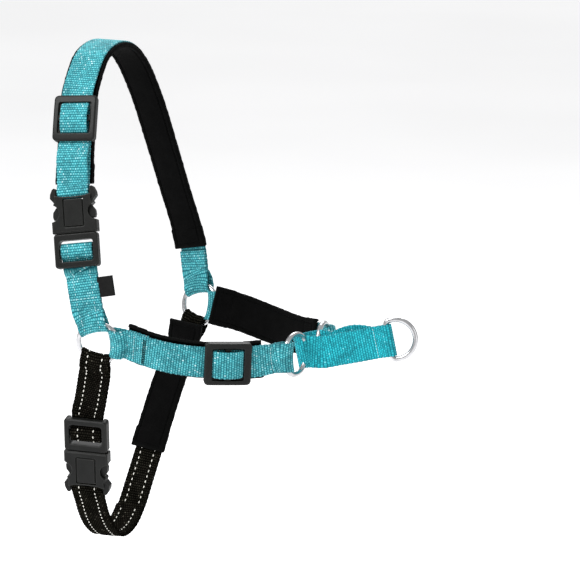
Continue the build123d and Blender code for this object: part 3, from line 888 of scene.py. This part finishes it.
STRAPS = [
    ("shoulder_webbing", SHOULDER, TEAL, "teal_webbing", OVER_CROWN,
     ["shoulder_webbing_left", "shoulder_webbing_crown", "shoulder_webbing_right"]),
    ("lower_shoulder_strap", LOWER_SHOULDER, TEAL, "teal_webbing", ON_SHOULDER, ["lower_shoulder_webbing"]),
    ("belly_webbing", BELLY, BLACK, "black_webbing", UNDER_KEEL,
     ["belly_webbing_left", "belly_webbing_keel", "belly_webbing_lower"]),
    ("belly_short_strap", BELLY_SHORT, BLACK, "black_webbing", ON_BELLY, ["belly_webbing_right"]),
    ("chest_strap_right", CHEST_NEAR, TEAL, "teal_webbing", ON_CHEST, ["chest_webbing_right"]),
    ("chest_strap_left", CHEST_FAR, TEAL, "teal_webbing", ON_CHEST, ["chest_webbing_left"]),
    ("martingale_loop", MARTINGALE, PLAIN_TEAL, "plain_teal_webbing", ON_CHEST, ["martingale_webbing"]),
]

for name, strap, material, slot, goes_with, nodes in STRAPS:
    cloth = webbing(name, strap.rows, strap.bends, closed=strap is MARTINGALE)
    place_piece(cloth, material, slot, nodes=nodes, **goes_with)


# --- pads ---

CHEST_PAD_ROUTE = [(14.5, -86.6, 1.3)] + CHEST_ROUTE
BELLY_PAD_ROUTE = BELLY_ROUTE + [(-6.2, 86.6, -14)]
SHOULDER_PAD_ROUTE = SHOULDER_ROUTE + [(-25.6, -84.2, 124.5)]
BELLY_PAD_LIFT = [(0, UNDER_ONE), (10, UNDER_ONE), (11, UNDER_TWO), (12, UNDER_TWO)]
SHOULDER_PAD_LIFT = [(0, UNDER_ONE), (9, UNDER_ONE), (11, UNDER_TWO), (15, UNDER_TWO)]

PADS = {
    "shoulder_pad": (layer(SHOULDER_PAD_ROUTE, along_body, SHOULDER_PAD_LIFT, 1), OVER_CROWN,
                     ["shoulder_pad_left", "shoulder_pad_crown", "shoulder_pad_right"]),
    "belly_pad": (layer(BELLY_PAD_ROUTE, along_body, BELLY_PAD_LIFT, 7), ON_BELLY, ["belly_pad_left"]),
    "chest_pad_near": (layer(CHEST_PAD_ROUTE, up_chest, UNDER_TWO, 0.45, 6.7), ON_CHEST, ["chest_pad_right"]),
    "chest_pad_far": (layer(mirrored(CHEST_PAD_ROUTE), up_chest, UNDER_TWO, 0, 6.8), ON_CHEST,
                      ["chest_pad_left"]),
}


def pad_thread(rows):
    """Stitch places in a pad's sewn channels, on the face towards the body."""
    along = np.arange(PAD_BORDER, distances(rows[:, :3])[-1] - PAD_BORDER, PAD_STITCH)
    places = []
    for offset, face in product((PAD_BORDER - PAD_WIDTH / 2, PAD_WIDTH / 2 - PAD_BORDER), (1, -1)):
        places += surface_places(rows, along, [offset] * len(along), face * PAD_STITCH_LIFT)
    return [place for place in places if np.dot(place[0], place[2]) < 0]


for number, (name, (rows, goes_with, nodes)) in enumerate(PADS.items()):
    cushion = pad(name, rows, FIRST_SEED + SEED_STEP * number)
    place_piece(cushion, NEOPRENE, "neoprene", nodes=nodes, **goes_with)
    thread = stitches(name + "_thread", pad_thread(rows), CHANNEL_STITCH)
    place_piece(thread, BLACK_THREAD, "neoprene", **goes_with)


# --- stitches, label and slider bites ---

def running_stitch(path, offsets, pitch, start=2.0):
    """Stitch places in rows along both faces of a strap."""
    along = np.arange(start, path.length - 2.0, pitch)
    places = []
    for offset, face in product(offsets, (1, -1)):
        across = [offset] * len(along)
        places += surface_places(path.rows, along, across, face * STITCH_LIFT, path.bends)
    return places


def cross_stitch(path, distances_along, half, pitch, faces=(1, -1)):
    """Stitch places in lines across a strap at given distances along it."""
    across = np.arange(-half, half + 0.01, pitch)
    places = []
    for distance, face in product(distances_along, faces):
        along = [distance] * len(across)
        places += surface_places(path.rows, along, across, face * STITCH_LIFT, path.bends, True)
    return places


def end_lines(strap):
    """Stitch places in a line beside each end fold of a chest strap."""
    return cross_stitch(strap, [strap.outer + 7.0, strap.far_fold - 7.0], 9.0, 3.0)


belly_rows = running_stitch(BELLY, (-6.4, 6.4), 4.5, BELLY.outer)
short_rows = running_stitch(BELLY_SHORT, (-6.4, 6.4), 4.5)
lower_rows = running_stitch(LOWER_SHOULDER, (-7.0, 7.0), 4.0)
lower_rows += cross_stitch(LOWER_SHOULDER, [LOWER_SHOULDER.outer + 9.0], 9.0, 3.0)
tack = cross_stitch(CHEST_NEAR, CHEST_NEAR.outer + np.array([15.5, 16.6, 17.7]), 10.0, 1.5, faces=(1,))
chest_lines = end_lines(CHEST_NEAR) + end_lines(CHEST_FAR)
loop_line = cross_stitch(MARTINGALE, [MARTINGALE.far_fold - 2.0], 10.5, 2.6)
fold_lines = cross_stitch(SHOULDER, [SHOULDER.outer + 9.0, SHOULDER.outer + 10.6], 10.0, 2.8)
keel_box = cross_stitch(BELLY, [BELLY.far_fold - 62.0 - 2.2 * i for i in range(12)], 4.8, 2.4)

STITCHING = [
    ("belly_reflective_stitches", belly_rows, DASH, REFLECTIVE, "black_webbing", UNDER_KEEL),
    ("belly_short_reflective_stitches", short_rows, DASH, REFLECTIVE, "black_webbing", ON_BELLY),
    ("lower_shoulder_stitches", lower_rows, FINE, PALE_THREAD, "teal_webbing", ON_SHOULDER),
    ("chest_near_bar_tack", tack, TACK, BLACK_THREAD, "teal_webbing", ON_CHEST),
    ("chest_stitches", chest_lines, FINE, PALE_THREAD, "teal_webbing", ON_CHEST),
    ("martingale_stitches", loop_line, FINE, PALE_THREAD, "plain_teal_webbing", ON_CHEST),
    ("shoulder_fold_stitches", fold_lines, FINE, PALE_THREAD, "teal_webbing", ON_SHOULDER),
    ("keel_box_stitches", keel_box, BOX, BLACK_THREAD, "black_webbing", UNDER_KEEL),
]

for name, places, size, thread, slot, goes_with in STITCHING:
    place_piece(stitches(name, places, size), thread, slot, **goes_with)


def label():
    """The side label: a satin tape folded in half, sewn in between the strap's layers."""
    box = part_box("side_label")
    centre = np.array([(low + high) / 2 for low, high in zip(*box)]) / MM
    up = unit(np.array(LOWER_SHOULDER_ROUTE[2]) - np.array(LOWER_SHOULDER_ROUTE[0]))
    forward = square(along_body(centre[None]), up[None])[0]
    out = np.cross(forward, up)
    out *= np.sign(out @ centre)
    rows = [(-7.5, 0.28), (-3, 0.3), (2, 0.42), (4.9, 0.36), (5.3, 0), (4.9, -0.36), (2, -0.42), (-3, -0.3),
            (-7.5, -0.28)]
    path = np.array([[*(centre + forward * t + out * lift), *up] for t, lift in rows])
    grid, along, across = strap_grid(path, 0.35, columns_across(LABEL_WIDTH, 0.5, 0.3))
    rib = 0.2 + 0.02 * np.cos(2 * np.pi * across / 1.0)
    obj = slab("label_tab", grid, grid_normals(grid, False), rib, rib, along, across)
    place_piece(obj, SATIN, "label_fabric", "shoulder_loop", nodes=["side_label"])


label()


def slider_place(route, station, width_direction, joint):
    """A slider's frame: x across the strap, y away from the body, z along it, then the origin."""
    z = unit(JOINTS[joint]["axis"])
    origin = np.array(route[station], float)
    x = square(width_direction(origin[None]), z[None])[0]
    y = np.cross(z, x)
    flip = np.sign(y @ origin)
    return np.array([x * flip, y * flip, z, origin])


def bite(name, place, body, node):
    """The webbing in a slider's window, pulled up over its middle bar like a small pillow."""
    x, y, z, origin = place
    profile = [(0, 7.5), (5, 7.1), (9.2, 5.7), (11.3, 3.6), (11.9, 1.6)]
    profile = [(-t, lift) for t, lift in profile[:0:-1]] + profile
    rows = np.array([[*(origin + z * t + y * lift), *x] for t, lift in profile])
    place_piece(webbing(name, rows, width=BITE_WIDTH), TEAL, "teal_webbing", body, nodes=[node])


SHOULDER_SLIDER = slider_place(SHOULDER_ROUTE, 12, along_body, "shoulder_slider_adjust")
CHEST_SLIDER = slider_place(CHEST_ROUTE, 4, up_chest, "chest_slider_adjust")
bite("shoulder_bite", SHOULDER_SLIDER, "shoulder_slider", "shoulder_slider_bite")
bite("chest_bite", CHEST_SLIDER, "chest_slider", "chest_slider_bite")


# --- moulded hardware, in its own frame: x across, y outward, z along the strap ---

def rounded(half, low, high, radius):
    """The outline of a rounded rectangle, as (across, along) points."""
    points = []
    for x, z, start in ((half, high, 0), (-half, high, 90), (-half, low, 180), (half, low, 270)):
        cx, cz = x - math.copysign(radius, x), z - radius if z == high else z + radius
        for turn in np.radians(np.linspace(start, start + 90, 6)):
            points.append((cx + radius * math.cos(turn), cz + radius * math.sin(turn)))
    return points


def oval(x, z, wide, tall):
    """The outline of an ellipse."""
    turns = np.linspace(0, 2 * np.pi, 32, endpoint=False)
    return [(x + wide * math.cos(turn), z + tall * math.sin(turn)) for turn in turns]


def rectangle(low_x, low_z, high_x, high_z):
    return [(low_x, low_z), (high_x, low_z), (high_x, high_z), (low_x, high_z)]


def flipped(outline):
    return [(-x, z) for x, z in outline]


def prism(outline, low, high, crossways=False):
    """A closed block from an outline, between two heights, or between two places across the strap."""
    count = len(outline)
    if crossways:
        points = [(t, a, b) for t in (low, high) for a, b in outline]
    else:
        points = [(a, t, b) for t in (low, high) for a, b in outline]
    faces = [tuple(range(count)), tuple(range(2 * count - 1, count - 1, -1))]
    faces += [(i, (i + 1) % count, count + (i + 1) % count, count + i) for i in range(count)]
    return points, faces


def solid(name, blocks):
    """One mesh object, in millimetres, from blocks: each is what prism() takes."""
    points, faces = [], []
    for block_points, block_faces in (prism(*block) for block in blocks):
        faces += [tuple(i + len(points) for i in face) for face in block_faces]
        points += block_points
    obj = mesh_object(name, np.array(points) / MM, faces, smooth=False)
    face_outward(obj)
    return obj


def applied(obj, *modifiers):
    """An object's mesh after some modifiers; the object itself is taken away."""
    for kind, settings in modifiers:
        modifier = obj.modifiers.new(kind, kind)
        for key, value in settings.items():
            setattr(modifier, key, value)
    mesh = bpy.data.meshes.new_from_object(obj.evaluated_get(bpy.context.evaluated_depsgraph_get()))
    bpy.data.objects.remove(obj)
    return mesh


def less(base, cuts):
    """A block with other blocks cut out of it."""
    cutter = solid(base.name + "_cutter", cuts)
    cutting = {"operation": "DIFFERENCE", "object": cutter, "solver": "EXACT", "use_self": True}
    mesh = applied(base, ("BOOLEAN", cutting))
    bpy.data.objects.remove(cutter)
    return add_object("cut", mesh)


def plus(base, extras):
    """A block with other blocks added to it."""
    more = solid(base.name + "_extra", extras)
    work = bmesh.new()
    work.from_mesh(base.data)
    work.from_mesh(more.data)
    work.to_mesh(base.data)
    work.free()
    bpy.data.objects.remove(more)
    return base


def moulded(name, place, body, node, blocks, cuts=(), extras=(), shape=None):
    """A moulded plastic piece: blocks less cuts plus extras, joined with softly rounded edges."""
    base = solid(name + "_base", blocks)
    if cuts:
        base = less(base, cuts)
    if extras:
        base = plus(base, extras)
    remesh = {"mode": "VOXEL", "voxel_size": MOULD_VOXEL}
    mesh = applied(base, ("REMESH", remesh), ("SMOOTH", {"factor": 0.5, "iterations": ROUNDING_STEPS}))
    points = np.empty(len(mesh.vertices) * 3)
    mesh.vertices.foreach_get("co", points)
    points = points.reshape(-1, 3)
    if shape:
        points = shape(points)
    x, y, z, origin = place
    points = origin + points[:, :1] * x + points[:, 1:2] * y + points[:, 2:] * z
    mesh.vertices.foreach_set("co", (points * MM).ravel())
    mesh.update()
    mesh.shade_smooth()
    place_piece(add_object(name, mesh), PLASTIC, "black_plastic", body, nodes=[node])


def groove(half, low, high, front):
    """Four thin cuts that draw a sunk rectangle on a face at a height."""
    deep, wide = front - math.copysign(1.15, front), 0.5
    outlines = [rectangle(x - wide, low, x + wide, high) for x in (-half, half)]
    outlines += [rectangle(-half, z - wide, half, z + wide) for z in (low, high)]
    low_y, high_y = sorted((deep, front + math.copysign(1.0, front)))
    return [(outline, low_y, high_y) for outline in outlines]


WING = [(13.7, 21.5), (14.6, 23.2), (16.4, 25.4), (18.7, 28.2), (18.3, 31.5), (16.6, 35.2), (15.2, 36.2),
        (13.7, 35.6)]
SKIRT = [(-18.0, 0.1), (18.0, 0.1), (18.0, 9.6), (16.0, 23.2), (14.6, 26.0), (-14.6, 26.0), (-16.0, 23.2),
         (-18.0, 9.6)]
SKIRT_INNER = [(x * 0.955, z + 0.9 if z < 5 else z - 0.4) for x, z in SKIRT]
LIP = [(-14.2, 24.5), (14.2, 24.5), (14.6, 30.2), (9.5, 28.9), (0, 28.4), (-9.5, 28.9), (-14.6, 30.2)]
BAR_OUTLINE = oval(0, 0, 2.3, 2.3)


def socket():
    """The female half: a waisted sleeve with a sunk panel, oval latch windows and flared wings."""
    blocks = [(SKIRT, -4.7, 4.7), (SKIRT_INNER, -5.6, 5.6)]
    blocks += [(LIP, 4.7, 5.6), (LIP, -5.6, -4.7)]
    window = oval(18.6, 16.2, 7.0, 6.8)
    cuts = [(rectangle(-14.2, -1, 14.2, 23.5), -3.3, 3.3)]
    cuts += [(window, -8, 8), (flipped(window), -8, 8)]
    cuts += groove(7.75, 5.0, 27.0, 5.6) + groove(7.75, 5.0, 27.0, -5.6)
    bar = [(y, z + SOCKET_BAR) for y, z in BAR_OUTLINE]
    extras = [(WING, -3.7, 3.7), (flipped(WING), -3.7, 3.7), (bar, -15, 15, True)]
    return blocks, cuts, extras


def plug():
    """The male half: a ladder frame with rounded corners, its web bar, a tongue and a seat."""
    blocks = [(rounded(17.6, -27.2, -0.15, 2.6), -3.7, 3.9)]
    blocks += [(rounded(16.9, -26.5, -0.9, 2.2), -4.4, 4.7)]
    cuts = [(rounded(13.65, -22.6, -5.6, 2.2), -8, 8)]
    cuts += [(rectangle(-13.65, -30, 13.65, -20), -8, -0.5)]
    bar = [(y, z + PLUG_BAR) for y, z in BAR_OUTLINE]
    extras = [(bar, -15, 15, True), (rectangle(-13.4, -1, 13.4, 1.4), -2.6, 2.6),
              (rounded(4.1, -1, 16, 1.5), -1.9, 1.9)]
    return blocks, cuts, extras


ARM = [(9.2, 1.6), (8.8, 19.8), (10.4, 21.6), (14.2, 20.8), (17.0, 17.0), (17.3, 13.5), (16.6, 11.0),
       (12.4, 11.0), (12.0, 1.6)]


def latch_arm(on_plus_side):
    """One springy latch arm with its finger pad."""
    outlines = [ARM, oval(10.6, 1.6, 2.2, 2.2)]
    if not on_plus_side:
        outlines = [flipped(outline) for outline in outlines]
    return [(outline, -2.6, 2.6) for outline in outlines]


def bowed(points):
    """Bows a slider's top so that its end rails lie lower than its middle."""
    lifted = np.maximum(points[:, 1] - 2.0, 0)
    along = np.abs(points[:, 2]) / 18.5
    points[:, 1] -= lifted * 0.28 * along**3
    return points


def slider():
    """A tri-glide: rounded side and end rails with a middle bar."""
    blocks = [(rounded(17.25, -18.5, 18.5, 3.4), -1.4, 4.9)]
    blocks += [(rounded(16.4, -17.6, 17.6, 2.8), -1.4, 5.6)]
    cuts = [(rounded(13.35, -12.7, 12.7, 1.6), -4, 9)]
    cuts += [(rectangle(-13.55, -30, 13.55, 30), -4, 2.15)]
    extras = [(rectangle(-14.3, -2.4, 14.3, 2.4), 2.2, 4.9)]
    for side in (-1, 1):
        low, high = sorted((side * 11.6, side * 14.3))
        extras.append((rectangle(low, -13.4, high, 13.4), 2.2, 3.2))
    return blocks, cuts, extras


for name, buckle, plus_side in (("shoulder", SHOULDER_BUCKLE, "rear"), ("belly", BELLY_BUCKLE, "front")):
    moulded(name + "_socket", buckle.place, name + "_right", name + "_buckle_socket", *socket())
    moulded(name + "_plug", buckle.place, name + "_loop", name + "_buckle_plug", *plug())
    for side in ("front", "rear"):
        arm = f"{name}_latch_arm_{side}"
        moulded(f"{name}_arm_{side}", buckle.place, arm, arm, latch_arm(side == plus_side))
for name, place in (("shoulder", SHOULDER_SLIDER), ("chest", CHEST_SLIDER)):
    moulded(name + "_tri_glide", place, name + "_slider", name + "_slider", *slider(), bowed)

for name, node in frame["nodes"].items():
    if "ring" in name:
        node.data.materials.clear()
        node.data.materials.append(NICKEL)
        node.data.shade_smooth()


# --- stage, light and camera ---

FLOOR_DROP = 0.12
FLOOR_RADIUS = 30.0
FLOOR_GLOW = 0.34
CAMERA_AZIMUTH = 25
CAMERA_ELEVATION = 10.4
CAMERA_DISTANCE = 6.5
CAMERA_SENSOR = 36.0
FRAME_WIDTH = 0.4603
FRAME_SHIFT = (0.1111, 0.0262)
WORLD_STRENGTH = 0.62


def stage():
    """A wide, plain, pale floor."""
    low = CAD_BOX[0].z - FLOOR_DROP
    turns = np.linspace(0, 2 * np.pi, 64, endpoint=False)
    rim = np.array([(FLOOR_RADIUS * math.cos(turn), FLOOR_RADIUS * math.sin(turn), low) for turn in turns])
    floor = mesh_object("studio_floor", rim / MM, [tuple(range(64))], smooth=False)
    n = Nodes("pale_floor")
    mottle = n.noise(n.place(), 3.0)
    colour = n.mix(n.ramp(mottle, 0.3, 0.7), (238, 238, 239), (244, 244, 245))
    n.set(n.shader, "Emission Color", (1, 1, 1, 1))
    n.set(n.shader, "Emission Strength", FLOOR_GLOW)
    floor.data.materials.append(n.finish(colour, 0.9))


def direction(azimuth, elevation):
    """The direction out from the object at angles in degrees: 0 is its right side, 90 its front."""
    a, e = math.radians(azimuth), math.radians(elevation)
    return Vector((math.sin(a) * math.cos(e), -math.cos(a) * math.cos(e), math.sin(e)))


def aimed(name, data, place, back):
    """A light or a camera at a place, with its back to a direction."""
    obj = add_object(name, data)
    obj.location = place
    obj.rotation_euler = back.to_track_quat("Z", "Y").to_euler()
    return obj


def area_light(name, azimuth, elevation, distance, size, power):
    """A soft white area light that faces the object."""
    light = bpy.data.lights.new(name, "AREA")
    light.shape = "RECTANGLE"
    light.size, light.size_y = size
    light.energy = power
    back = direction(azimuth, elevation)
    aimed(name, light, (CAD_BOX[0] + CAD_BOX[1]) / 2 + back * distance, back)


def camera():
    """A long lens from the dog's front right, a little above it."""
    azimuth = math.radians(CAMERA_AZIMUTH)
    side = Vector((math.cos(azimuth), math.sin(azimuth), 0))
    back = direction(CAMERA_AZIMUTH, CAMERA_ELEVATION)
    data = bpy.data.cameras.new("camera")
    data.sensor_width = CAMERA_SENSOR
    data.lens = CAMERA_SENSOR * CAMERA_DISTANCE / FRAME_WIDTH
    data.clip_end = 60
    place = side * FRAME_SHIFT[0] + back.cross(side) * FRAME_SHIFT[1] + back * CAMERA_DISTANCE
    bpy.context.scene.camera = aimed("camera", data, place, back)


stage()
area_light("key", -30, 48, 1.5, (0.8, 0.8), 24)
area_light("fill", 80, 12, 1.8, (1.0, 1.2), 5)
area_light("rim", 195, 45, 1.8, (1.0, 1.0), 16)
camera()

world = bpy.data.worlds.new("studio")
world.use_nodes = True
world.node_tree.nodes["Background"].inputs["Color"].default_value = (1, 1, 1, 1)
world.node_tree.nodes["Background"].inputs["Strength"].default_value = WORLD_STRENGTH
bpy.context.scene.world = world
bpy.context.scene.view_settings.view_transform = "Standard"
